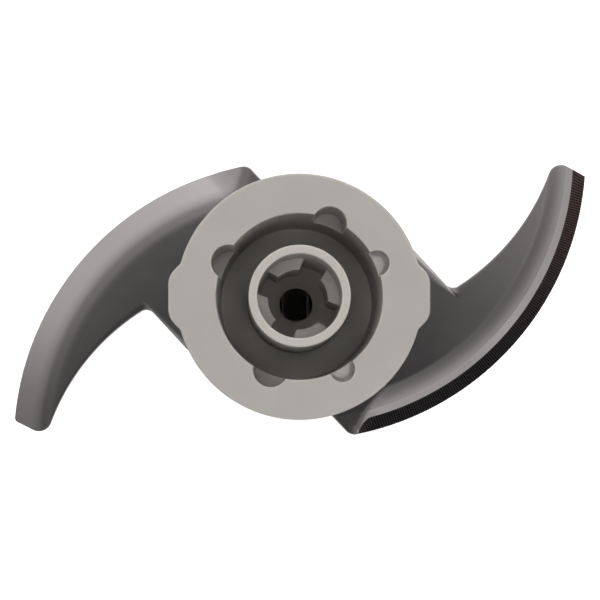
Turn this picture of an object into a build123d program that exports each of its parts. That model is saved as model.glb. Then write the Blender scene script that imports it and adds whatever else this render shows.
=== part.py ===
from build123d import *
from math import acos, atan2, cos, degrees, hypot, radians, sin, sqrt, tan
import os

# A food processor's S blade, standing on the flat top of its hub with the open end up.
# The origin is on the drive axis at the hub's top face. Lengths are in millimetres.

# Heights and depths along the drive axis
face_height = 92.0          # flange face at the open end
rim_stand = 4.5             # the drive sleeve's rim stands this far out of the flange face
flange_thickness = 3.5
lower_blade_depth = 7.0     # flange face to the lower blade's flat face
blade_spacing = 20.0        # from one blade's flat face to the other's
drum_under = 5.0            # plastic of the thick drum past the upper blade
cavity_depth = 54.0         # ring-shaped space for the bowl's centre tube
socket_depth = 9.0          # the sleeve sits this deep in the floor of that space
cap_thickness = 2.5

# Hub moulding, radii and walls
opening_radius = 25.0
cavity_draft = 1.2          # the ring-shaped space is this much narrower at its floor
flange_lip = 1.2            # the flange stands this far out of the drum
cavity_wall = 3.1
cavity_web = 4.0            # floor of the ring-shaped space
grip_radius = 21.5
grip_taper = 1.0            # the grip is this much slimmer at its free end
grip_wall = 3.0
shoulder_height = 4.0       # slope from the grip out to the cavity wall
drum_slope = 6.0            # slope from the cavity wall out to the drum
flange_round = 0.7
mouth_round = 0.5

# Ears on the flange's edge
ear_length = 2.3            # out of the flange's edge
ear_half_width = 6.2
ear_side_angle = 45.0
ear_round = 6.0
ear_root_round = 1.0

# Core pin pockets in the opening's edge
deep_pocket_angles = (67.5, 154.1, 248.5)
deep_pocket_shift = -1.4    # its middle lies this far outside the opening's edge
deep_pocket_radius = 5.2
deep_pocket_depth = 25.5
pocket_taper = 0.8
shallow_pocket_angles = (23.3, 300.4)
shallow_pocket_shift = 0.3
shallow_pocket_radius = 3.8
shallow_pocket_depth = 6.2
pin_mark_radius = 3.0
pin_mark_height = 0.7
pin_mark_shift = 0.45       # the mark lies this much nearer the axis than its pocket

# Drive sleeve with its lugs
bore_radius = 12.65
sleeve_wall = 2.65
sleeve_floor = 3.0
pilot_radius = 5.3
sleeve_round = 0.5
lug_count = 4
lug_depth = 27.0            # rim to the lugs' end faces
lug_zone_taper = 0.4        # draft of the bore's wall between the lugs
lug_inner_radius = 9.2
lug_inner_half_angle = 22.0
lug_outer_half_angle = 27.4
lug_turn = 19.2
sleeve_clearance = 0.1
socket_floor = 3.0
shaft_way_radius = 8.0      # hole in the socket's floor, under the pilot hole

# Cap that closes the grip
cap_round = 0.8
cap_clearance = 0.1
spigot_length = 3.5
spigot_wall = 2.0
rib_spacing = 8.0
rib_thickness = 0.9
rib_length = 15.0
rib_gap = 5.5               # the ribs end this far short of the socket's floor

# Blades: one stamping used twice, half a turn apart, ground on opposite faces
blade_thickness = 2.0
blade_reach = 94.6          # tip corner from the drive axis
cutting_edge_radius = 86.7
cutting_edge_centre = (0.6, 43.8)
back_edge_radius = 69.3
tip_bearing = 23.0          # rough direction of the tip from the drive axis
tip_width = 11.1
tip_lean = 22.3             # the tip's end leans this much from the cutting edge's radius
tip_round = 4.0
root_bearing = -69.7        # direction of the root's corner from the drive axis
root_angle = 133.5
root_round = 3.0
shoulder_bearing = 42.7     # the notch's side is square to this direction
shoulder_gap = 0.5          # how deep the notch's side passes inside the drum
notch_run = 29.5            # along the notch's side from that place to the back edge
notch_round = 3.0
ring_width = 6.2            # steel ring inside the drum
ring_cover = 2.8            # plastic over the steel ring's outer edge
ring_hole_gap = 1.8         # plastic between the opening and the steel ring
ring_notch_gap = 0.9        # plastic between the deep pockets and the steel ring

# Section across a blade, out from the cutting edge's centre
bend_angle = 14.0
bend_width = 5.6
margin_flat = 0.2           # plain strip between the bend and the grinding
grind_width = 3.0
grind_depth = 0.4
bevel_width = 3.3
edge_land = 0.2
crease_angle = 64.0         # the bend ends in a crease that leaves the root's corner this way
runout_angle = 41.0         # the bevel's inner border leaves the root's corner this way

# Values worked out from the sizes above
rim_height = face_height + rim_stand
lug_face = rim_height - lug_depth
lower_blade_height = face_height - lower_blade_depth - blade_thickness
upper_blade_height = lower_blade_height - blade_spacing
drum_bottom = upper_blade_height - drum_under
cavity_floor = face_height - cavity_depth
sleeve_base = cavity_floor - socket_depth
bore_floor = sleeve_base + sleeve_floor
socket_bottom = sleeve_base - socket_floor
sleeve_radius = bore_radius + sleeve_wall
socket_radius = sleeve_radius + sleeve_clearance
grip_end_radius = grip_radius - grip_taper
grip_bore = grip_end_radius - grip_wall
ring_hole = opening_radius + ring_hole_gap
ring_radius = ring_hole + ring_width
drum_radius = ring_radius + ring_cover
flange_radius = drum_radius + flange_lip
ear_reach = flange_radius + ear_length
cavity_floor_radius = opening_radius - cavity_draft
cavity_outside = cavity_floor_radius + cavity_wall
deep_pocket_place = opening_radius + deep_pocket_shift
shallow_pocket_place = opening_radius + shallow_pocket_shift
margin_slope = tan(radians(bend_angle))
bend_radius = bend_width / sin(radians(bend_angle))
bevel_start = cutting_edge_radius - bevel_width
grind_start = bevel_start - grind_width
bend_end = grind_start - margin_flat
bend_start = bend_end - bend_width
bend_drop = bend_radius * (1 - cos(radians(bend_angle)))
bevel_drop = blade_thickness - edge_land - grind_depth + bevel_width * margin_slope
beyond = 10.0               # how far cutting shapes pass the surface that they cut
same_place = 0.01           # points nearer than this count as one
half_turn = 180.0


def at_bearing(distance, bearing):
    """Point in plan at a distance and bearing from the drive axis."""
    return (distance * cos(radians(bearing)), distance * sin(radians(bearing)))


def moved(point, distance, bearing):
    """Point in plan at a distance and bearing from another one."""
    step = at_bearing(distance, bearing)
    return (point[0] + step[0], point[1] + step[1])


def meet_circle(start, bearing, centre, radius, first=False):
    """Where a line from a point meets a circle: its first crossing, or the one where it leaves."""
    step = at_bearing(1, bearing)
    gap = (start[0] - centre[0], start[1] - centre[1])
    along = gap[0] * step[0] + gap[1] * step[1]
    half_chord = sqrt(along**2 - gap[0]**2 - gap[1]**2 + radius**2)
    run = -along - half_chord if first else -along + half_chord
    return (start[0] + run * step[0], start[1] + run * step[1])


def arc_middle(start, end, centre, radius):
    """Middle point of the shorter arc of a circle between two of its points."""
    way = ((start[0] + end[0]) / 2 - centre[0], (start[1] + end[1]) / 2 - centre[1])
    size = radius / hypot(*way)
    return (centre[0] + way[0] * size, centre[1] + way[1] * size)


def reach_on_circle(distance, centre, radius, bearing):
    """Point of a circle at a distance from the drive axis, on the side nearer a bearing."""
    apart = hypot(*centre)
    middle = degrees(atan2(centre[1], centre[0]))
    swing = degrees(acos((distance**2 + apart**2 - radius**2) / (2 * distance * apart)))
    if bearing < middle:
        swing = -swing
    return at_bearing(distance, middle + swing)


def margin_drop(radius):
    """How far the bent margin lies below the blade's flat face."""
    return bend_drop + (radius - bend_end) * margin_slope


tip_corner = reach_on_circle(
    blade_reach, cutting_edge_centre, cutting_edge_radius, tip_bearing)
tip_turn = degrees(atan2(
    cutting_edge_centre[1] - tip_corner[1], cutting_edge_centre[0] - tip_corner[0]))
tip_back = moved(tip_corner, tip_width, tip_turn - tip_lean)
root_corner = meet_circle(
    (0, 0), root_bearing, cutting_edge_centre, cutting_edge_radius)
root_inside = meet_circle(root_corner, root_angle, (0, 0), ring_hole, first=True)
shoulder = at_bearing(drum_radius - shoulder_gap, shoulder_bearing)
notch_corner = moved(shoulder, notch_run, shoulder_bearing - 90)
edge_axis = Axis((*cutting_edge_centre, 0), (0, 0, 1))
edge_section = Plane(
    origin=(*cutting_edge_centre, 0), x_dir=(1, 0, 0), z_dir=(0, -1, 0))
crease_section = Plane(
    origin=(*root_corner, 0), x_dir=(*at_bearing(1, crease_angle - 90), 0),
    z_dir=(*at_bearing(-1, crease_angle), 0))

runout_slope = bevel_drop / bevel_width
runout_fall = margin_slope * sin(radians(crease_angle - runout_angle))
runout_line = Vector(*at_bearing(1, runout_angle), -runout_fall)
runout_up = runout_line.cross(Vector(*at_bearing(-1, runout_angle - 90), runout_slope))


def nearest(vertices, point):
    """The vertex nearest a point in plan."""
    return vertices.sort_by(lambda v: hypot(v.X - point[0], v.Y - point[1]))[0]


def blade_outline():
    """The stamping's outline in plan: a sickle on a ring that the hub is moulded round."""
    cutting_middle = arc_middle(
        root_corner, tip_corner, cutting_edge_centre, cutting_edge_radius)
    with BuildSketch() as outline:
        with BuildLine():
            ThreePointArc(root_corner, cutting_middle, tip_corner)
            Line(tip_corner, tip_back)
            RadiusArc(tip_back, notch_corner, back_edge_radius)
            Polyline(notch_corner, shoulder, (0, 0), root_inside, root_corner)
        make_face()
        for corner, size in ((notch_corner, notch_round), (root_corner, root_round),
                             (tip_back, tip_round)):
            fillet(nearest(outline.vertices(), corner), size)
        Circle(ring_radius)
        Circle(ring_hole, mode=Mode.SUBTRACT)
        for angle in deep_pocket_angles:
            with Locations(at_bearing(deep_pocket_place, angle)):
                Circle(deep_pocket_radius + ring_notch_gap, mode=Mode.SUBTRACT)
    return outline.sketch


def below_face(level, ground=0):
    """Everything below a blade's face at a level, bent down along its margin and flat at its root.
    Ground is 1 where the wheel took steel off from above, and -1 where it did from below."""
    far = cutting_edge_radius + beyond
    deep = level - 2 * beyond
    bevel_top = level - margin_drop(bevel_start) - ground * grind_depth
    edge_top = level - margin_drop(cutting_edge_radius)
    edge_top -= ground * (blade_thickness - edge_land)
    bevel_slope = (bevel_top - edge_top) / bevel_width
    with BuildPart() as root:
        with BuildSketch(crease_section):
            with BuildLine():
                Polyline((-blade_reach, level), (0, level), (beyond / margin_slope, level - beyond),
                         (beyond / margin_slope, deep), (-blade_reach, deep), close=True)
            make_face()
        extrude(amount=blade_reach, both=True)
        if ground > 0:
            with BuildSketch(Plane(origin=(*root_corner, level), x_dir=runout_line, z_dir=runout_up)):
                Rectangle(2 * blade_reach, 2 * blade_reach)
            extrude(amount=blade_reach, mode=Mode.SUBTRACT)
    with BuildPart() as block:
        with BuildSketch(edge_section):
            with BuildLine():
                flat = Line((0, level), (bend_start, level))
                bend = JernArc(flat @ 1, flat % 1, bend_radius, -bend_angle)
                Polyline(bend @ 1, (grind_start, level - margin_drop(grind_start)),
                         (bevel_start, bevel_top), (cutting_edge_radius, edge_top),
                         (far, edge_top - bevel_slope * beyond), (far, deep), (0, deep), (0, level))
            make_face()
        revolve(axis=edge_axis)
        add(root.part)
    return block.part


def blade(ground_from_above):
    """A finished blade with its lower flat face at height zero and its sickle on the right."""
    if ground_from_above:
        upper_form = below_face(blade_thickness, 1)
        lower_form = below_face(0)
    else:
        upper_form = below_face(blade_thickness)
        lower_form = below_face(0, -1)
    with BuildPart() as stamping:
        add(blade_outline())
        extrude(amount=beyond, both=True)
        add(upper_form, mode=Mode.INTERSECT)
        add(lower_form, mode=Mode.SUBTRACT)
    return stamping.part


# Lower blade, ground on the face that looks at the open end
with BuildPart() as lower_blade:
    with Locations((0, 0, lower_blade_height)):
        add(blade(ground_from_above=True))
lower_blade.part.label = "lower_blade"

# Upper blade, half a turn on, ground on its other face
with BuildPart() as upper_blade:
    with Locations(Location((0, 0, upper_blade_height), (0, 0, half_turn))):
        add(blade(ground_from_above=False))
upper_blade.part.label = "upper_blade"

# Hub moulding: grip, cavity for the bowl's centre tube, thick drum and flange with two ears
under_flange = face_height - flange_thickness
grip_top = cavity_floor - cavity_web
ear_inside = (opening_radius + drum_radius) / 2
ear_inside_half = ear_half_width + (ear_reach - ear_inside) * tan(radians(ear_side_angle))
with BuildPart() as hub_body:
    with BuildSketch(Plane.XZ):
        with BuildLine():
            Polyline(
                (grip_end_radius, cap_thickness), (grip_radius, grip_top - shoulder_height),
                (cavity_outside, grip_top), (cavity_outside, drum_bottom - drum_slope),
                (drum_radius, drum_bottom), (drum_radius, under_flange),
                (flange_radius, under_flange), (flange_radius, face_height),
                (opening_radius, face_height), (cavity_floor_radius, cavity_floor),
                (socket_radius, cavity_floor), (socket_radius, sleeve_base),
                (shaft_way_radius, sleeve_base), (shaft_way_radius, socket_bottom),
                (grip_bore, socket_bottom), (grip_bore, cap_thickness), close=True)
        make_face()
    revolve(axis=Axis.Z)
    with BuildSketch(Plane.XY.offset(under_flange)):
        with PolarLocations(0, 2):
            Polygon((ear_reach, -ear_half_width), (ear_reach, ear_half_width),
                    (ear_inside, ear_inside_half), (ear_inside, -ear_inside_half), align=None)
    extrude(amount=flange_thickness)
    upright = hub_body.edges().filter_by(Axis.Z)
    fillet(upright.filter_by(lambda e: hypot(e.center().X, e.center().Y) > ear_reach), ear_round)
    upright = hub_body.edges().filter_by(Axis.Z)
    at_flange = upright.filter_by(
        lambda e: abs(hypot(e.center().X, e.center().Y) - flange_radius) < same_place)
    fillet(at_flange, ear_root_round)
    face = hub_body.faces().sort_by(Axis.Z)[-1]
    fillet(face.outer_wire().edges(), flange_round)

    # Pockets that the mould's pins leave, each open to the cavity
    for angles, place, radius, depth in (
            (deep_pocket_angles, deep_pocket_place, deep_pocket_radius, deep_pocket_depth),
            (shallow_pocket_angles, shallow_pocket_place, shallow_pocket_radius,
             shallow_pocket_depth)):
        for angle in angles:
            with BuildSketch(Plane.XY.offset(face_height)):
                with Locations(at_bearing(place, angle)):
                    Circle(radius)
            extrude(amount=-depth, taper=pocket_taper, mode=Mode.SUBTRACT)
    face = hub_body.faces().filter_by(Plane.XY).sort_by(Axis.Z)[-1]
    fillet(face.inner_wires().edges(), mouth_round)
    for angle in shallow_pocket_angles:
        with BuildSketch(Plane.XY.offset(face_height - shallow_pocket_depth)):
            with Locations(at_bearing(shallow_pocket_place - pin_mark_shift, angle)):
                Circle(pin_mark_radius)
            Circle(opening_radius, mode=Mode.SUBTRACT)
        extrude(amount=pin_mark_height)

    # The steel's own space
    add(lower_blade.part, mode=Mode.SUBTRACT)
    add(upper_blade.part, mode=Mode.SUBTRACT)
hub_body.part.label = "hub_body"

# Corners of a lug that points along X; its flanks run on into the sleeve's wall
lug_inner_high = at_bearing(lug_inner_radius, lug_inner_half_angle)
lug_bore_high = at_bearing(bore_radius, lug_outer_half_angle)
lug_outer_high = (2 * lug_bore_high[0] - lug_inner_high[0],
                  2 * lug_bore_high[1] - lug_inner_high[1])
lug_inner_low = (lug_inner_high[0], -lug_inner_high[1])
lug_outer_low = (lug_outer_high[0], -lug_outer_high[1])

# Drive sleeve: a closed tube whose lugs take the drive, with a pilot hole for the shaft's end
with BuildPart() as drive_sleeve:
    with BuildSketch(Plane.XY.offset(sleeve_base)):
        Circle(sleeve_radius)
    extrude(amount=rim_height - sleeve_base)
    with BuildSketch(Plane.XY.offset(lug_face)):
        Circle(bore_radius)
    extrude(amount=lug_depth, mode=Mode.SUBTRACT)
    with BuildSketch(Plane.XY.offset(lug_face)):
        Circle(bore_radius)
    extrude(amount=bore_floor - lug_face, taper=lug_zone_taper, mode=Mode.SUBTRACT)
    with BuildSketch(Plane.XY.offset(bore_floor)):
        with PolarLocations(0, lug_count, start_angle=lug_turn):
            Polygon(lug_inner_low, lug_outer_low, lug_outer_high, lug_inner_high, align=None)
        Circle(bore_radius + sleeve_wall / 2, mode=Mode.INTERSECT)
        Circle(lug_inner_radius, mode=Mode.SUBTRACT)
    extrude(amount=lug_face - bore_floor)
    Hole(pilot_radius)
    rim = drive_sleeve.faces().sort_by(Axis.Z)[-1]
    fillet(rim.edges(), sleeve_round)
drive_sleeve.part.label = "drive_sleeve"

# Cap on the grip's end, on which the whole thing stands, with a pair of ribs inside
with BuildPart() as top_cap:
    with BuildSketch():
        Circle(grip_end_radius)
    extrude(amount=cap_thickness)
    with BuildSketch(Plane.XY.offset(cap_thickness)):
        Circle(grip_bore - cap_clearance)
        Circle(grip_bore - cap_clearance - spigot_wall, mode=Mode.SUBTRACT)
    extrude(amount=spigot_length)
    with BuildSketch(Plane.XY.offset(cap_thickness)):
        with GridLocations(rib_spacing, 0, 2, 1):
            Rectangle(rib_thickness, rib_length)
    extrude(amount=socket_bottom - rib_gap - cap_thickness)
    fillet(top_cap.edges().sort_by(Axis.Z)[0], cap_round)
top_cap.part.label = "top_cap"

os.makedirs("parts", exist_ok=True)
for piece in (hub_body, drive_sleeve, top_cap, lower_blade, upper_blade):
    export_step(piece.part, f"parts/{piece.part.label}.step")
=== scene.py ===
# %% [markdown]
# A food processor's S blade stands on the flat top of its hub, open end up. The hub, the drive sleeve and
# the cap come from the CAD model as they are and get their plastic here. The two steel blades are modelled
# again, because their bend, grinding, serrations and rounded rims are what the eye goes to.

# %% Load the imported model
from math import atan2, cos, pi, radians, sin, sqrt, tan

import bmesh
import bpy
from mathutils import Matrix, Vector
from mathutils.geometry import intersect_line_sphere_2d, intersect_sphere_sphere_2d
from mathutils.kdtree import KDTree


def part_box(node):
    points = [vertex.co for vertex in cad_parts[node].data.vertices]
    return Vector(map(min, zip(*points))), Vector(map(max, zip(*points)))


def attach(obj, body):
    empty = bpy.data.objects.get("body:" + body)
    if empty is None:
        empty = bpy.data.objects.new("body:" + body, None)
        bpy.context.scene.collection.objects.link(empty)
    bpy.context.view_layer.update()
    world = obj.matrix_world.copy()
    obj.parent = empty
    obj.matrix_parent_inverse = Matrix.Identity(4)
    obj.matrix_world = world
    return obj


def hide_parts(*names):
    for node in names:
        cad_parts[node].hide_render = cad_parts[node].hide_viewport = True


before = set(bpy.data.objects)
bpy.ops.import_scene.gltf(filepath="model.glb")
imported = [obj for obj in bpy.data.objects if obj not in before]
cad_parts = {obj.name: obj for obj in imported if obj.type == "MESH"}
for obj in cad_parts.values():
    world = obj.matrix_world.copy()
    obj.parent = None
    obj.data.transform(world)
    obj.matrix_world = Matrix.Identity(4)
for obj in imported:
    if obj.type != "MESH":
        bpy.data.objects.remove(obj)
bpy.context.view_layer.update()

mm = 0.001
flange_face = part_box("hub_body")[1].z
print("flange face at", round(flange_face / mm, 1), "mm")

# %% [markdown]
# ## The camera
# The photograph looks almost straight down into the hub from about a metre away. Blender's lens looks
# along its own -Z, with +Y up in the picture. So the camera's three axes are worked out from where it
# stands and what it aims at, with the scene's +Y kept upwards in the frame.

# %% Place the camera
camera_place = Vector((-18.6, -44.6, 1000)) * mm + Vector((0, 0, flange_face))
camera_aim = Vector((0.17, -1.08, 0)) * mm + Vector((0, 0, flange_face))
lens_mm = 200.4

camera = bpy.data.objects.new("camera", bpy.data.cameras.new("camera"))
bpy.context.scene.collection.objects.link(camera)
backwards = (camera_place - camera_aim).normalized()
sideways = Vector((0, 1, 0)).cross(backwards).normalized()
upwards = backwards.cross(sideways)
turned_to_aim = Matrix((sideways, upwards, backwards)).transposed().to_4x4()
camera.matrix_world = Matrix.Translation(camera_place) @ turned_to_aim
camera.data.lens = lens_mm
camera.data.sensor_width = 36
camera.data.clip_start = 0.05
camera.data.clip_end = 20
bpy.context.scene.camera = camera
print("camera stands", round((camera_place - camera_aim).length, 3), "m from what it aims at")

# %% [markdown]
# ## Small helpers for shader nodes
# Every material here is built from nodes in Python. These functions add one kind of node each, set its
# sockets and hand back its output, so that a recipe later reads like a list of steps.

# %% Write the node helpers


def math_node(nodes, links, operation, *values):
    """A Math node, with each value either a number or another node's output."""
    made = nodes.new("ShaderNodeMath")
    made.operation = operation
    for socket, value in zip(made.inputs, values):
        if isinstance(value, (int, float)):
            socket.default_value = value
        else:
            links.new(value, socket)
    return made.outputs[0]


def ramp(nodes, stops, lowest, highest):
    """A colour ramp in greys, with its stops given in real units."""
    made = nodes.new("ShaderNodeValToRGB")
    made.color_ramp.interpolation = "EASE"
    while len(made.color_ramp.elements) < len(stops):
        made.color_ramp.elements.new(0.5)
    for element, (place, grey) in zip(made.color_ramp.elements, stops):
        element.position = (place - lowest) / (highest - lowest)
        element.color = (grey, grey, grey, 1)
    return made


def start_material(name):
    """A new material with its node tree, and the parts of it that every recipe needs."""
    made = bpy.data.materials.new(name)
    made.use_nodes = True
    nodes, links = made.node_tree.nodes, made.node_tree.links
    return made, nodes, links, nodes["Principled BSDF"]


# %% [markdown]
# ## The floor
# A plain white sheet, far wider than the view, so that every view of the object has floor behind it. Paper
# lit by these lamps would look a little grey, so it also glows, but only for rays that come from the
# camera or off something shiny. The glow therefore puts no light on the plastic, and the shadow on the
# paper stays.

# %% Lay the floor
floor_half_width = 4.0
floor_white = (0.93, 0.93, 0.93, 1)
floor_lift = 0.30
paper_roughness = 0.9

floor_form = bmesh.new()
bmesh.ops.create_grid(floor_form, x_segments=1, y_segments=1, size=floor_half_width)
floor_mesh = bpy.data.meshes.new("floor")
floor_form.to_mesh(floor_mesh)
floor_form.free()
floor = bpy.data.objects.new("floor", floor_mesh)
bpy.context.scene.collection.objects.link(floor)
floor_paper, floor_nodes, floor_links, paper = start_material("floor paper")
paper.inputs["Base Color"].default_value = floor_white
paper.inputs["Roughness"].default_value = paper_roughness
paper.inputs["Emission Color"].default_value = (1, 1, 1, 1)
rays = floor_nodes.new("ShaderNodeLightPath").outputs
seen = math_node(floor_nodes, floor_links, "MAXIMUM", rays["Is Camera Ray"], rays["Is Glossy Ray"])
seen = math_node(floor_nodes, floor_links, "MAXIMUM", seen, rays["Is Transmission Ray"])
lift = math_node(floor_nodes, floor_links, "MULTIPLY", seen, floor_lift)
floor_links.new(lift, paper.inputs["Emission Strength"])
floor.data.materials.append(floor_paper)
print("floor is", 2 * floor_half_width, "m wide")

# %% [markdown]
# ## The light tent
# Steel shows its surroundings, so most of a blade's look is made here. The tent has a dark hole overhead,
# where the camera looks in. Round the hole it gets brighter, and lower down it falls off again. Two ramps
# give that: one reads how far a direction is from the middle of the hole, the other reads its compass
# bearing.

# %% Build the tent as a world shader
warm_white = (1.0, 0.985, 0.97)
hole_direction = Vector((0.018, 0.02, 1)).normalized()
angle_stops = (  # degrees from the middle of the hole, and how bright the tent is there
    (0, 0.015), (1.6, 0.018), (2.4, 0.02), (3, 0.045), (3.5, 0.10), (4, 0.14), (4.9, 0.22),
    (6, 0.30), (8, 0.28), (12, 0.29), (17, 0.36), (22, 0.47), (27, 0.60), (33, 0.74),
    (38, 0.72), (44, 0.66), (50, 0.45), (58, 0.22), (90, 0.12))
bearing_stops = (  # compass bearing in degrees, and the tent's share of brightness there
    (-180, 0.30), (-150, 0.45), (-110, 0.70), (-57, 0.72), (-19, 0.58), (3, 0.60), (37, 1.30),
    (75, 1.25), (105, 1.17), (120, 0.98), (140, 0.87), (146, 0.84), (154, 0.73), (162, 0.55),
    (170, 0.375), (180, 0.31))

tent = bpy.data.worlds.new("light tent")
bpy.context.scene.world = tent
tent.use_nodes = True
tent_nodes, tent_links = tent.node_tree.nodes, tent.node_tree.links
directions = tent_nodes.new("ShaderNodeTexCoord")
split = tent_nodes.new("ShaderNodeSeparateXYZ")
tent_links.new(directions.outputs["Generated"], split.inputs[0])
towards_hole = tent_nodes.new("ShaderNodeVectorMath")
towards_hole.operation = "DOT_PRODUCT"
towards_hole.inputs[1].default_value = hole_direction
tent_links.new(directions.outputs["Generated"], towards_hole.inputs[0])
from_hole = math_node(tent_nodes, tent_links, "ARCCOSINE", towards_hole.outputs["Value"])
right_angle_share = math_node(tent_nodes, tent_links, "MULTIPLY", from_hole, 2 / pi)
by_angle = ramp(tent_nodes, angle_stops, 0, 90)
tent_links.new(right_angle_share, by_angle.inputs[0])
compass = math_node(tent_nodes, tent_links, "ARCTAN2", split.outputs["Y"], split.outputs["X"])
compass_share = math_node(tent_nodes, tent_links, "MULTIPLY_ADD", compass, 1 / (2 * pi), 0.5)
by_bearing = ramp(tent_nodes, bearing_stops, -180, 180)
tent_links.new(compass_share, by_bearing.inputs[0])
brightness = math_node(
    tent_nodes, tent_links, "MULTIPLY", by_angle.outputs["Color"], by_bearing.outputs["Color"])
background = tent_nodes["Background"]
background.inputs["Color"].default_value = (*warm_white, 1)
tent_links.new(brightness, background.inputs["Strength"])
print("tent stops:", len(angle_stops), "by angle,", len(bearing_stops), "by bearing")

# %% [markdown]
# ## The lamps
# Matt plastic needs more light than the tent gives. Four soft square lamps stand low round the object, and
# the one at the upper left is the strongest. Four more hang round the camera and light the deep bore.
# Their mirror images are switched off, so that the blades show the tent with its dark hole and no white
# squares.

# %% Hang the lamps
lamp_distance = 1.6
lamp_width = 0.7
overhead_width = 0.5
lamps = {  # name: compass bearing, elevation, watts, width
    "key lamp": (122, 30, 6.6, lamp_width),
    "back lamp": (70, 30, 3.3, lamp_width),
    "right lamp": (5, 24, 2.6, lamp_width),
    "front lamp": (-105, 28, 3.8, lamp_width),
}
for number, bearing in enumerate((45, 135, 225, 315), 1):
    lamps[f"overhead lamp {number}"] = (bearing, 72, 5.2, overhead_width)
for lamp_name, (bearing, elevation, watts, width) in lamps.items():
    lamp = bpy.data.objects.new(lamp_name, bpy.data.lights.new(lamp_name, "AREA"))
    lamp.data.size = width
    lamp.data.energy = watts
    lamp.data.color = warm_white
    direction = Vector((cos(radians(bearing)) * cos(radians(elevation)),
                        sin(radians(bearing)) * cos(radians(elevation)), sin(radians(elevation))))
    lamp.location = direction * lamp_distance
    lamp.rotation_euler = direction.to_track_quat("Z", "Y").to_euler()
    bpy.context.scene.collection.objects.link(lamp)
    lamp.visible_glossy = False
print("lamps:", ", ".join(lamps))

# %% [markdown]
# ## Texture helpers
# No real surface has one even colour and gloss. Noise textures bring the change, and these helpers read
# one, stretch its values, turn them into a colour between two others, or into a bump.

# %% Write the texture helpers


def noise(nodes, links, vector, scale, detail=2):
    """A noise texture that reads the given coordinates."""
    made = nodes.new("ShaderNodeTexNoise")
    made.inputs["Scale"].default_value = scale
    made.inputs["Detail"].default_value = detail
    links.new(vector, made.inputs["Vector"])
    return made.outputs["Fac"]


def spread(nodes, links, value, low, high):
    """Stretches a noise value, which stays mostly between 0.3 and 0.7, to the range asked for."""
    made = nodes.new("ShaderNodeMapRange")
    made.inputs["From Min"].default_value = 0.3
    made.inputs["From Max"].default_value = 0.7
    made.inputs["To Min"].default_value = low
    made.inputs["To Max"].default_value = high
    links.new(value, made.inputs["Value"])
    return made.outputs["Result"]


def shade_between(nodes, links, share, dark, light):
    """A colour that moves from dark to light with a value from 0 to 1."""
    made = nodes.new("ShaderNodeMix")
    made.data_type = "RGBA"
    made.inputs["A"].default_value = (*dark, 1)
    made.inputs["B"].default_value = (*light, 1)
    links.new(share, made.inputs["Factor"])
    return made.outputs["Result"]


def bump(nodes, links, height, distance, strength):
    """A bump whose height is given in metres."""
    made = nodes.new("ShaderNodeBump")
    made.inputs["Distance"].default_value = distance
    made.inputs["Strength"].default_value = strength
    links.new(height, made.inputs["Height"])
    return made.outputs["Normal"]


# %% [markdown]
# ## Moulded plastic
# The hub and its sleeve are warm grey plastic with a satin skin. The skin isn't perfect: it has a fine
# grain left by the mould and patches that are a little glossier than others. Both come from noise textures
# that read Object coordinates, so they stay on the plastic whatever way it is turned.

# %% Mix the plastics
hub_grey = (0.342, 0.327, 0.312)
sleeve_grey = (0.395, 0.377, 0.356)


def moulded_plastic(name, colour, roughness):
    """Satin plastic with a fine mould grain, faint cloudiness and patches of gloss."""
    made, nodes, links, surface = start_material(name)
    place = nodes.new("ShaderNodeTexCoord").outputs["Object"]
    cloud = spread(nodes, links, noise(nodes, links, place, scale=70), low=0, high=1)
    darker = tuple(channel * 0.97 for channel in colour)
    links.new(shade_between(nodes, links, cloud, darker, colour), surface.inputs["Base Color"])
    patches = noise(nodes, links, place, scale=160, detail=3)
    gloss = spread(nodes, links, patches, low=roughness - 0.04, high=roughness + 0.05)
    links.new(gloss, surface.inputs["Roughness"])
    grain = noise(nodes, links, place, scale=3200, detail=1)
    links.new(bump(nodes, links, grain, distance=0.02 * mm, strength=0.35), surface.inputs["Normal"])
    surface.inputs["Subsurface Weight"].default_value = 1
    surface.inputs["Subsurface Radius"].default_value = (1.0, 0.95, 0.85)
    surface.inputs["Subsurface Scale"].default_value = 2 * mm
    return made


hub_plastic = moulded_plastic("hub plastic", hub_grey, roughness=0.45)
sleeve_plastic = moulded_plastic("sleeve plastic", sleeve_grey, roughness=0.42)
cap_plastic = moulded_plastic("cap plastic", hub_grey, roughness=0.45)
print("plastics:", ", ".join(plastic.name for plastic in (hub_plastic, sleeve_plastic, cap_plastic)))

# %% [markdown]
# The CAD solids keep their form. Only their material changes, so each one's slot list is emptied and the
# plastic that was mixed for it goes in.

# %% Give the CAD pieces their plastic
plastics = {"hub_body": hub_plastic, "drive_sleeve": sleeve_plastic, "top_cap": cap_plastic}
for node_name, plastic in plastics.items():
    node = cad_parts[node_name]
    node.data.materials.clear()
    node.data.materials.append(plastic)
    print(node_name, "wears", plastic.name)

# %% [markdown]
# ## The blade's outline
# A blade is a sickle on a ring, stamped from 2 mm sheet. Its cutting edge and its back edge are circle
# arcs about different centres. The corners are found with the geometry helpers for circles and lines.

# %% Work out the outline's corners
blade_thickness = 2.0 * mm
edge_centre = Vector((0.6, 43.8)) * mm
edge_radius = 86.7 * mm
back_radius = 69.3 * mm
blade_reach = 94.6 * mm
tip_width = 11.1 * mm
tip_lean = radians(22.3)
tip_round = 4.0 * mm
root_bearing = radians(-69.7)
root_angle = radians(133.5)
root_round = 3.2 * mm
shoulder_place = 35.3 * mm
shoulder_bearing = radians(42.7)
notch_run = 29.5 * mm
notch_round = 3.0 * mm
ring_hole = 26.8 * mm
ring_radius = 33.0 * mm
ring_lap = 2.0 * mm
line_slack = 0.01 * mm
axis_point = Vector((0, 0))


def towards(bearing, distance=1.0):
    """A step in plan in the direction of a bearing."""
    return Vector((cos(bearing), sin(bearing))) * distance


def bearing_from(centre, point):
    """The bearing of a point in plan as seen from a centre."""
    return atan2(point.y - centre.y, point.x - centre.x)


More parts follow.
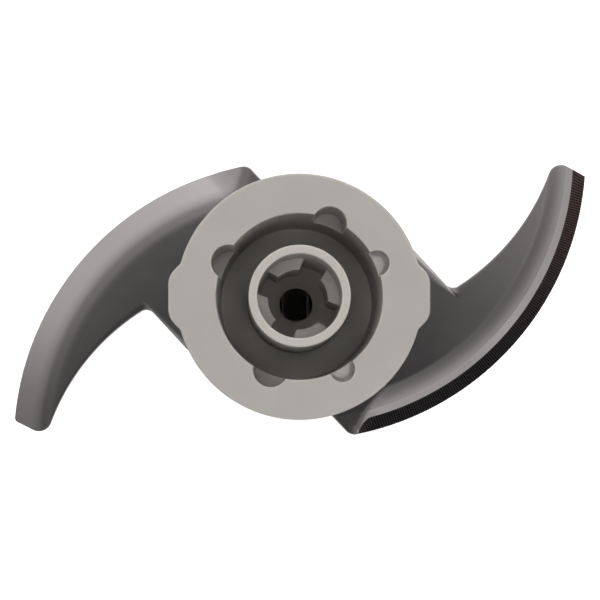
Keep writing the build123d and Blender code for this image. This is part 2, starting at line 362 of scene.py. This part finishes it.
def first_on_line(start, bearing, centre, radius):
    """Where a line from a point first meets a circle ahead of it."""
    ends = intersect_line_sphere_2d(start, start + towards(bearing), centre, radius, False)
    found = [end for end in ends if end is not None]
    ahead = [end for end in found if (end - start).dot(towards(bearing)) > -line_slack]
    return min(ahead, key=lambda end: (end - start).length)


tip_corner = max(
    intersect_sphere_sphere_2d(axis_point, blade_reach, edge_centre, edge_radius), key=lambda p: p.x)
tip_line_bearing = bearing_from(tip_corner, edge_centre) - tip_lean
tip_back = tip_corner + towards(tip_line_bearing, tip_width)
root_corner = first_on_line(axis_point, root_bearing, edge_centre, edge_radius)
shoulder = towards(shoulder_bearing, shoulder_place)
notch_corner = shoulder + towards(shoulder_bearing - pi / 2, notch_run)
back_centre = max(
    intersect_sphere_sphere_2d(tip_back, back_radius, notch_corner, back_radius), key=lambda p: p.y)
corners = {"tip": tip_corner, "tip back": tip_back, "notch": notch_corner, "root": root_corner}
for corner_name, corner in corners.items():
    print(corner_name, "corner at", [round(part / mm, 2) for part in corner], "mm")

# %% [markdown]
# ## Blade steel
# Three finishes lie side by side on a blade. The body is rolled and tumbled, a soft satin. The ground band
# is brighter, with fine lines across it from the wheel, and painted paler away from the root as a painted
# reflection. The serrated bevel is rough and painted nearly black as a painted dark reflection, with
# painted shade in its grooves. The lines follow the cutting edge, so these materials read a UV map that is
# measured along and across that edge.

# %% Mix the steels
# The ground band's paler colour towards the tip is a painted reflection, standing in for brighter sheen
# there.
painted_sheen_bearings = (-52, -40)  # in degrees: the ground band turns pale between these
brown_bearings = (-45, -5)  # and the bevel turns brown between these
# How strongly painted shade darkens the bevel's colour in the grooves between teeth.
groove_painted_shade = 0.9


def along_share(nodes, links, bearings):
    """A value that rises from 0 to 1 along the cutting edge, between two bearings from its centre."""
    split = nodes.new("ShaderNodeSeparateXYZ")
    links.new(nodes.new("ShaderNodeUVMap").outputs["UV"], split.inputs[0])
    made = nodes.new("ShaderNodeMapRange")
    made.inputs["From Min"].default_value = radians(bearings[0]) * edge_radius
    made.inputs["From Max"].default_value = radians(bearings[1]) * edge_radius
    links.new(split.outputs["X"], made.inputs["Value"])
    return made.outputs["Result"]


def edge_coordinates(nodes, links, along, across):
    """The blade's own UV map, in metres, stretched by a number of repeats each way."""
    made = nodes.new("ShaderNodeMapping")
    made.inputs["Scale"].default_value = (along, across, 1)
    links.new(nodes.new("ShaderNodeUVMap").outputs["UV"], made.inputs["Vector"])
    return made.outputs["Vector"]


def satin_steel():
    """The blade's body: soft and slightly cloudy, with faint rolling lines along the edge."""
    made, nodes, links, surface = start_material("satin steel")
    place = nodes.new("ShaderNodeTexCoord").outputs["Object"]
    cloud = spread(nodes, links, noise(nodes, links, place, scale=45, detail=3), low=0, high=1)
    satin_grey = shade_between(nodes, links, cloud, (0.585, 0.555, 0.56), (0.60, 0.57, 0.575))
    links.new(satin_grey, surface.inputs["Base Color"])
    surface.inputs["Metallic"].default_value = 1
    gloss = spread(nodes, links, noise(nodes, links, place, scale=110, detail=3), low=0.115, high=0.13)
    links.new(gloss, surface.inputs["Roughness"])
    lines = noise(nodes, links, edge_coordinates(nodes, links, along=90, across=4200), scale=1)
    links.new(bump(nodes, links, lines, distance=0.01 * mm, strength=0.25), surface.inputs["Normal"])
    return made


def ground_steel():
    """The wheel's band beside the bevel, with fine lines straight across it, painted paler away from the
    root as a painted reflection.
    """
    made, nodes, links, surface = start_material("ground steel")
    lines = noise(nodes, links, edge_coordinates(nodes, links, along=3600, across=60), scale=1)
    wear = spread(nodes, links, lines, low=-0.25, high=0.25)
    share = math_node(nodes, links, "ADD", along_share(nodes, links, painted_sheen_bearings), wear)
    ground_grey = shade_between(nodes, links, share, (0.64, 0.60, 0.605), (0.84, 0.79, 0.80))
    links.new(ground_grey, surface.inputs["Base Color"])
    surface.inputs["Metallic"].default_value = 1
    surface.inputs["Roughness"].default_value = 0.13
    links.new(bump(nodes, links, lines, distance=0.02 * mm, strength=0.4), surface.inputs["Normal"])
    return made


def serrated_steel():
    """The bevel: rough, painted nearly black as a painted dark reflection, browner towards the tip, with
    painted shade in the grooves.
    """
    made, nodes, links, surface = start_material("serrated steel")
    place = nodes.new("ShaderNodeTexCoord").outputs["Object"]
    burn = spread(nodes, links, noise(nodes, links, place, scale=400, detail=3), low=-0.15, high=0.15)
    share = math_node(nodes, links, "ADD", along_share(nodes, links, brown_bearings), burn)
    # These near-black colours are a painted dark reflection of the dark surroundings that the bevel
    # mirrors.
    brown = shade_between(nodes, links, share, (0.085, 0.079, 0.085), (0.225, 0.160, 0.155))
    tooth = nodes.new("ShaderNodeAttribute")
    tooth.attribute_name = "tooth"
    # Painted shade: the colour is darkened where the groove between teeth is deepest.
    painted_groove_shade = math_node(nodes, links, "MULTIPLY_ADD", tooth.outputs["Fac"], -groove_painted_shade, 1.0)
    in_grooves = nodes.new("ShaderNodeVectorMath")
    in_grooves.operation = "SCALE"
    links.new(brown, in_grooves.inputs[0])
    links.new(painted_groove_shade, in_grooves.inputs["Scale"])
    links.new(in_grooves.outputs[0], surface.inputs["Base Color"])
    surface.inputs["Metallic"].default_value = 1
    surface.inputs["Roughness"].default_value = 0.42
    return made


steels = (satin_steel(), ground_steel(), serrated_steel())
satin, ground, serrated = range(len(steels))
print("steels:", ", ".join(steel.name for steel in steels))

# %% [markdown]
# ## The sheet, seen in plan
# The sickle starts as a flat grid. Its columns cross the blade from the back edge to the cutting edge, two
# to each tooth, and its rows run along it, close together where the steel bends. Each grid point is then
# carried to its place in plan. The back edge turns in at the notch, goes into the hub and follows the ring
# there.

# %% Set out rows and columns
tooth_pitch = 0.76 * mm
grind_start = 80.4 * mm
bevel_start = 82.6 * mm
groove_runin = 0.35 * mm
ground_rows = (grind_start, 80.55 * mm, 81.1 * mm, 81.6 * mm, 82.1 * mm,
               bevel_start, bevel_start + groove_runin, 84.8 * mm, edge_radius)
bend_zone = 8.8 * mm
bend_rows = 18
body_rows = 5
rim_steps = (0.0, 0.08 * mm, 0.22 * mm, 0.5 * mm)
end_fade = 0.12
runout_start = 2.4 * mm
runout_length = 5.3 * mm
runout_share = 0.97
border_tries = 6
bend_share = 0.7

root_end = bearing_from(edge_centre, root_corner)
tip_end = bearing_from(edge_centre, tip_corner)
tooth_count = round((tip_end - root_end) * edge_radius / tooth_pitch)
edge_length = (tip_end - root_end) * edge_radius
regular = [step / (2 * tooth_count) for step in range(2 * tooth_count + 1)]
extra = [step / edge_length for step in rim_steps[1:3]]
column_places = sorted(regular + extra + [1 - step for step in extra])
print(tooth_count, "teeth on", round(edge_length / mm, 1), "mm of edge,", len(column_places), "columns")

# %% [markdown]
# The grid's other long side is a path of short straight steps: down the back edge, round the notch, into
# the hub and along the ring. Each column starts at a place that is measured off along this path.

# %% Follow the back edge and the ring


def fillet_arc(corner, before, after, radius, steps=8):
    """Points of the arc that rounds a corner between two directions that lead away from it."""
    half_angle = before.angle(after) / 2
    centre = corner + (before + after).normalized() * (radius / sin(half_angle))
    start = corner + before * (radius / tan(half_angle)) - centre
    end = corner + after * (radius / tan(half_angle)) - centre
    turn = start.angle_signed(end)
    return [centre + Matrix.Rotation(-turn * step / steps, 2) @ start for step in range(steps + 1)]


def arc_points(centre, radius, start, end, steps):
    """Points along a circle from one bearing to another."""
    return [centre + towards(start + (end - start) * step / steps, radius) for step in range(steps + 1)]


def walk(path, shares):
    """Points along a polyline at the given shares of its length."""
    lengths = [0.0]
    for one, other in zip(path, path[1:]):
        lengths.append(lengths[-1] + (other - one).length)
    points, leg = [], 0
    for share in shares:
        target = share * lengths[-1]
        while leg < len(path) - 2 and lengths[leg + 1] < target:
            leg += 1
        part = (target - lengths[leg]) / (lengths[leg + 1] - lengths[leg])
        points.append(path[leg].lerp(path[leg + 1], min(1.0, max(0.0, part))))
    return points


back_tangent = (notch_corner - back_centre).orthogonal().normalized()
if back_tangent.dot(tip_back - notch_corner) < 0:
    back_tangent.negate()
notch_arc = fillet_arc(notch_corner, back_tangent, (shoulder - notch_corner).normalized(), notch_round)
sunk_radius = ring_radius - ring_lap
sunk_end = first_on_line(root_corner, root_angle, axis_point, sunk_radius)
back_start = bearing_from(back_centre, tip_back)
back_end = bearing_from(back_centre, notch_arc[0])
back_path = arc_points(back_centre, back_radius, back_start, back_end, steps=80)
hub_path = notch_arc + [shoulder] + arc_points(
    axis_point, sunk_radius, shoulder_bearing, bearing_from(axis_point, sunk_end), steps=60)
print("back edge", round(back_radius * (back_start - back_end) / mm, 1), "mm long")

# %% [markdown]
# A column leans over near the ends of the blade, so that the first and the last one lie on the straight
# ends. At the root the wheel lifts off, and there the bevel narrows to nothing.

# %% Carry the grid to its place in plan


def edge_fade(share):
    """How strongly a column near an end of the blade leans with that end."""
    return max(0.0, 1 - share / end_fade) ** 2


def run_out(along):
    """How far the wheel has lifted off at a distance along the edge from the root: 0 is not at all."""
    return runout_share * min(1.0, max(0.0, 1 - (along - runout_start) / runout_length)) ** 2


def line_end(start, bearing, radius):
    """The bearing, from the edge's centre, of the place where a line crosses a circle about it."""
    return bearing_from(edge_centre, first_on_line(start, bearing, edge_centre, radius))


def column_bearing(share, radius):
    """The bearing of a column where it crosses a circle about the edge's centre."""
    bearing = root_end + (tip_end - root_end) * share
    bearing += (line_end(root_corner, root_angle, radius) - root_end) * edge_fade(share)
    return bearing + (line_end(tip_corner, tip_line_bearing, radius) - tip_end) * edge_fade(1 - share)


def widened(radius, lifted):
    """The radius that a row moves to where the wheel has lifted off and the bevel is narrower."""
    if radius >= bevel_start:
        return radius + (edge_radius - radius) * lifted
    wider = lifted * (edge_radius - bevel_start) / (bevel_start - grind_start)
    return radius + max(0.0, radius - grind_start) * wider


def edge_point(share, row_radius):
    """Where a column meets a row that follows the cutting edge, closed in on by a few tries."""
    radius = row_radius
    for _ in range(border_tries):
        along = (column_bearing(share, radius) - root_end) * edge_radius
        radius = widened(row_radius, run_out(along))
    return edge_centre + towards(column_bearing(share, radius), radius)


notch_share = (bearing_from(edge_centre, notch_corner) - root_end) / (tip_end - root_end)
back_shares = [(1 - place) / (1 - notch_share) for place in column_places[::-1] if place >= notch_share]
back_points = walk(back_path, back_shares)
hub_shares = [1 - place / notch_share for place in column_places[::-1] if place < notch_share]
inner_points = (back_points + walk(hub_path, hub_shares))[::-1]


def column_points(place, inner):
    """Every point of one column, from the back edge to the cutting edge."""
    outer = edge_point(place, grind_start)
    length = (outer - inner).length
    zone = min(bend_zone, bend_share * length)
    steps = list(rim_steps)
    body = length - zone - rim_steps[-1]
    steps += [rim_steps[-1] + body * row / body_rows for row in range(1, body_rows)]
    steps += [length - zone * (1 - row / bend_rows) for row in range(bend_rows)]
    points = [inner.lerp(outer, step / length) for step in steps]
    return points + [edge_point(place, radius) for radius in ground_rows]


grid_points = [column_points(place, inner) for place, inner in zip(column_places, inner_points)]
row_count = len(grid_points[0])
print("grid of", len(column_places), "columns by", row_count, "rows")


def blade_sheet():
    """The sickle as a flat sheet, with each tooth's middle marked on its vertices."""
    form = bmesh.new()
    bmesh.ops.create_grid(form, x_segments=len(column_places) - 1, y_segments=row_count - 1, size=0.5)
    tooth = form.verts.layers.float.new("tooth")
    for vertex in form.verts:
        column = round((vertex.co.x + 0.5) * (len(column_places) - 1))
        row = round((vertex.co.y + 0.5) * (row_count - 1))
        phase = column_places[column] * tooth_count
        vertex[tooth] = 1 - abs(2 * (phase % 1) - 1)
        vertex.co = (*grid_points[column][row], 0)
    return form


# %% [markdown]
# ## Rounded corners
# The root and the back of the tip are rounded on both blades, and on the far blade the point is as well. A
# few straight cuts near a corner, each a tangent of its rounding, leave it smooth. Cuts a little further in
# remove nothing. They leave edges beside the new rim, which its rounding needs later.

# %% Cut the corners
rim_cuts = (0.3 * mm, 0.12 * mm, 0.0)
blunt_tip_round = 1.5 * mm
tip_tangent_step = 7  # the point of the back edge that gives its direction at the tip
cut_zone = 3  # in radii of the rounding, round its corner
cut_tolerance = 1e-7


def round_corner(form, corner, before, after, radius):
    """Cuts the sheet along tangents of the arc that rounds a corner."""
    reach = radius / tan(before.angle(after) / 2)
    arc = fillet_arc(corner, before, after, radius)
    centre = corner + (before + after).normalized() * (radius / sin(before.angle(after) / 2))

    def in_corner(vertex):
        away = vertex.co.xy - corner
        return away.length < cut_zone * radius and max(away.dot(before), away.dot(after)) < reach

    for one, other in zip(arc, arc[1:]):
        middle = (one + other) / 2
        outwards = (other - one).orthogonal().normalized()
        if outwards.dot(middle - centre) < 0:
            outwards.negate()
        for inset in rim_cuts:
            faces = [face for face in form.faces if any(in_corner(vertex) for vertex in face.verts)]
            geometry = list({part for face in faces for part in (*face.verts, *face.edges, face)})
            on_cut = (*(middle - outwards * inset), 0)
            bmesh.ops.bisect_plane(form, geom=geometry, dist=cut_tolerance, plane_co=on_cut,
                                   plane_no=(*outwards, 0), clear_outer=inset == 0)


def edge_direction(corner, goal):
    """The direction in which the cutting edge leaves one of its ends for the other."""
    tangent = (corner - edge_centre).orthogonal().normalized()
    if tangent.dot(goal - corner) < 0:
        tangent.negate()
    return tangent


def finish_sheet(form, ground_above):
    """Rounds the root's and the tip's corners, and on the far blade the point as well."""
    along_edge_line = edge_direction(root_corner, tip_corner)
    round_corner(form, root_corner, along_edge_line, towards(root_angle), root_round)
    along_back = (back_path[tip_tangent_step] - tip_back).normalized()
    round_corner(form, tip_back, along_back, -towards(tip_line_bearing), tip_round)
    if not ground_above:
        back_along_edge = edge_direction(tip_corner, root_corner)
        round_corner(form, tip_corner, back_along_edge, towards(tip_line_bearing), blunt_tip_round)


# %% [markdown]
# ## The section across the blade
# The steel is flat, then bends down by 14 degrees along an arc, and the wheel takes a shallow band and the
# bevel off one face. The root stays flat up to a crease. Bend and crease look crisper on the blade whose
# ground face is above (True in the pairs of values below) than on the other (False). A height for each
# point follows.

# %% Work out heights
bend_angle = radians(14.0)
bend_width = {True: 5.6 * mm, False: 8.4 * mm}
bend_end = {True: 80.2 * mm, False: 81.6 * mm}
crease_angle = {True: radians(66.0), False: radians(73.0)}
crease_offset = {True: 1.6 * mm, False: -0.3 * mm}
crease_ease = {True: 0.0, False: 0.5 * mm}
band_runin = 3.0 * mm
crease_width = {True: 2.2 * mm, False: 5.5 * mm}
crease_blend = 0.8 * mm
grind_depth = 0.28 * mm
edge_land = 0.2 * mm
rim_round = 0.3 * mm
tooth_depth = 0.14 * mm
bevel_slope = (blade_thickness - edge_land - grind_depth) / (edge_radius - bevel_start)


def bent_drop(distance, width):
    """How far a sheet has dropped at a distance past the start of a bend of the given width."""
    radius = width / sin(bend_angle)
    if distance <= 0:
        return 0.0
    if distance < width:
        return radius - sqrt(radius**2 - distance**2)
    return radius * (1 - cos(bend_angle)) + (distance - width) * tan(bend_angle)


def past_crease(point, ground_above):
    """How far a point lies past the crease, on the bent side of it."""
    across = towards(crease_angle[ground_above] - pi / 2)
    return (point - root_corner).dot(across) - crease_offset[ground_above]


def body_drop(point, ground_above):
    """How far the unground steel lies below the flat: the smaller of bend and crease, blended."""
    width = bend_width[ground_above]
    bend = bent_drop((point - edge_centre).length - bend_end[ground_above] + width, width)
    swing = crease_width[ground_above]
    crease = bent_drop(past_crease(point, ground_above) + swing / 2, swing)
    blend = max(0.0, 1 - abs(bend - crease) / crease_blend)
    drop = max(0.0, min(bend, crease) - blend**2 * crease_blend / 4)
    ease = crease_ease[ground_above]
    if drop < ease:
        return drop**2 / (2 * ease)
    return drop - ease / 2


def along_edge(point):
    """How far along the cutting edge from the root's corner a point lies."""
    return (bearing_from(edge_centre, point) - root_end) * edge_radius


def bevel_border(point):
    """The radius at which the bevel begins beside a point."""
    return edge_radius - (edge_radius - bevel_start) * (1 - run_out(along_edge(point)))


def ground_off(point, ground_above):
    """How much steel the wheel has taken off at a point."""
    radius, border = (point - edge_centre).length, bevel_border(point)
    band = min(1.0, max(0.0, (radius - grind_start) / (border - grind_start)))
    beyond_crease = min(1.0, max(0.0, past_crease(point, ground_above) / band_runin))
    return grind_depth * band * beyond_crease + bevel_slope * max(0.0, radius - border)


def heights(point, ground_above):
    """The heights of the lower and the upper face at a point in plan."""
    drop = body_drop(point, ground_above)
    low, high = -drop, blade_thickness - drop
    off = ground_off(point, ground_above)
    return (low, high - off) if ground_above else (low + off, high)


edge_drops = [bent_drop(edge_radius - bend_end[side] + bend_width[side], bend_width[side])
              for side in (True, False)]
print("cutting edges lie", [round(drop / mm, 2) for drop in edge_drops], "mm below the flat")

# %% [markdown]
# ## From sheet to blade
# Extruding the sheet gives it two faces and a wall. Each point then moves to its height: first the
# section, then the rounding of the nearest rim, which a search tree of rim points finds, and last the
# teeth.

# %% Shape one blade
rim_sample = 0.1 * mm
on_line = 0.002 * mm
first_tooth = 4 * mm
rim_share = 0.45
ring_steps = 180
notch_bearings = (67.5, 154.1, 248.5)
notch_place = 23.6 * mm
ring_notch = 6.1 * mm


def rim_tree(form):
    """A search tree of points along the sheet's rim, without the cutting edge."""
    points = []
    for edge in form.edges:
        if not edge.is_boundary:
            continue
        one, other = (vertex.co.copy() for vertex in edge.verts)
        if min((end.xy - edge_centre).length for end in (one, other)) > edge_radius - on_line:
            continue
        count = max(1, round((other - one).length / rim_sample))
        points += [one.lerp(other, step / count) for step in range(count + 1)]
    tree = KDTree(len(points))
    for index, point in enumerate(points):
        tree.insert(point, index)
    tree.balance()
    return tree


def rounding(distance, thickness):
    """How far a rounded rim has fallen away at a distance from it."""
    radius = min(rim_round, rim_share * thickness)
    if distance >= radius:
        return 0.0
    return radius - sqrt(radius**2 - (radius - distance)**2)


def groove(point, tooth):
    """Depth of the groove between two teeth at a point of the bevel."""
    run_in = ((point - edge_centre).length - bevel_border(point)) / groove_runin
    from_root = (along_edge(point) - first_tooth) / first_tooth
    return tooth_depth * tooth * min(1.0, max(0.0, run_in)) * min(1.0, max(0.0, from_root))


def raise_sheet(form, ground_above):
    """Gives the flat sheet its two faces. Returns the worked face's vertices."""
    tree = rim_tree(form)
    tooth = form.verts.layers.float["tooth"]
    extruded = bmesh.ops.extrude_face_region(form, geom=form.faces[:], use_keep_orig=True)
    upper = {part for part in extruded["geom"] if isinstance(part, bmesh.types.BMVert)}
    for vertex in form.verts:
        point = vertex.co.xy
        low, high = heights(point, ground_above)
        fall = rounding(tree.find((*point, 0))[2], high - low)
        cut = groove(point, vertex[tooth])
        if vertex in upper:
            vertex.co.z = high - fall - (cut if ground_above else 0.0)
        else:
            vertex.co.z = low + fall + (0.0 if ground_above else cut)
    return upper if ground_above else set(form.verts) - upper


def mark_finishes(form, worked):
    """Gives the ground band and the bevel their own steel, and crisp borders."""
    for face in form.faces:
        face.smooth = True
        face.material_index = satin
        middle = face.calc_center_median().xy
        radius = (middle - edge_centre).length
        if worked.issuperset(face.verts) and radius > grind_start:
            on_bevel = radius > bevel_border(middle)
            face.material_index = serrated if on_bevel else ground
            face.smooth = not on_bevel
    for edge in form.edges:
        on_edge = min((vertex.co.xy - edge_centre).length for vertex in edge.verts) > edge_radius - on_line
        edge.smooth = not on_edge and len({face.material_index for face in edge.link_faces}) < 2


def add_ring(form):
    """The steel ring inside the hub, notched where the mould's pins passed it."""
    section = [form.verts.new((radius, 0, height)) for radius, height in (
        (ring_hole, 0), (ring_radius, 0), (ring_radius, blade_thickness), (ring_hole, blade_thickness))]
    loop = [form.edges.new((one, other)) for one, other in zip(section, section[1:] + section[:1])]
    before = set(form.verts)
    bmesh.ops.spin(form, geom=section + loop, cent=(0, 0, 0), axis=(0, 0, 1), angle=2 * pi,
                   steps=ring_steps, use_merge=True)
    for vertex in section + [vertex for vertex in form.verts if vertex not in before]:
        if vertex.co.xy.length > (ring_hole + ring_radius) / 2:
            continue
        for bearing in notch_bearings:
            aside = notch_place * sin(radians(bearing) - bearing_from(axis_point, vertex.co.xy))
            along = notch_place * cos(radians(bearing) - bearing_from(axis_point, vertex.co.xy))
            if abs(aside) < ring_notch and along > 0:
                edge_of_notch = along + sqrt(ring_notch**2 - aside**2)
                if edge_of_notch > ring_hole:
                    vertex.co.xy = vertex.co.xy.normalized() * edge_of_notch


def make_blade(name, cad_node, ground_above, turned):
    """One blade at its height on the hub, in place of its CAD solid."""
    form = blade_sheet()
    finish_sheet(form, ground_above)
    worked = raise_sheet(form, ground_above)
    mark_finishes(form, worked)
    add_ring(form)
    bmesh.ops.recalc_face_normals(form, faces=form.faces[:])
    edge_map = form.loops.layers.uv.new("along the edge")
    for face in form.faces:
        for loop in face.loops:
            point = loop.vert.co.xy
            bearing = bearing_from(edge_centre, point)
            loop[edge_map].uv = (bearing * edge_radius, (point - edge_centre).length)
    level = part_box(cad_node)[1].z - blade_thickness
    form.transform(Matrix.Translation((0, 0, level)) @ Matrix.Rotation(pi if turned else 0.0, 4, "Z"))
    mesh = bpy.data.meshes.new(name)
    form.to_mesh(mesh)
    form.free()
    for steel in steels:
        mesh.materials.append(steel)
    blade = bpy.data.objects.new(name, mesh)
    bpy.context.scene.collection.objects.link(blade)
    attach(blade, "root")
    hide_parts(cad_node)
    return blade


# %% [markdown]
# Both blades come from the same steps. The near one has its ground face above. The far one is turned half
# a turn and has it below, so here only its smooth face shows.

# %% Make both blades
blades = (make_blade("near_blade", "lower_blade", ground_above=True, turned=False),
          make_blade("far_blade", "upper_blade", ground_above=False, turned=True))
for blade in blades:
    levels = [vertex.co.z / mm for vertex in blade.data.vertices]
    faces = len(blade.data.polygons)
    print(blade.name, faces, "faces, heights", round(min(levels), 2), "to", round(max(levels), 2), "mm")

# %% [markdown]
# ## The finish
# The render's colours go through the Standard view transform.

# %% Set the view transform
bpy.context.scene.view_settings.view_transform = "Standard"
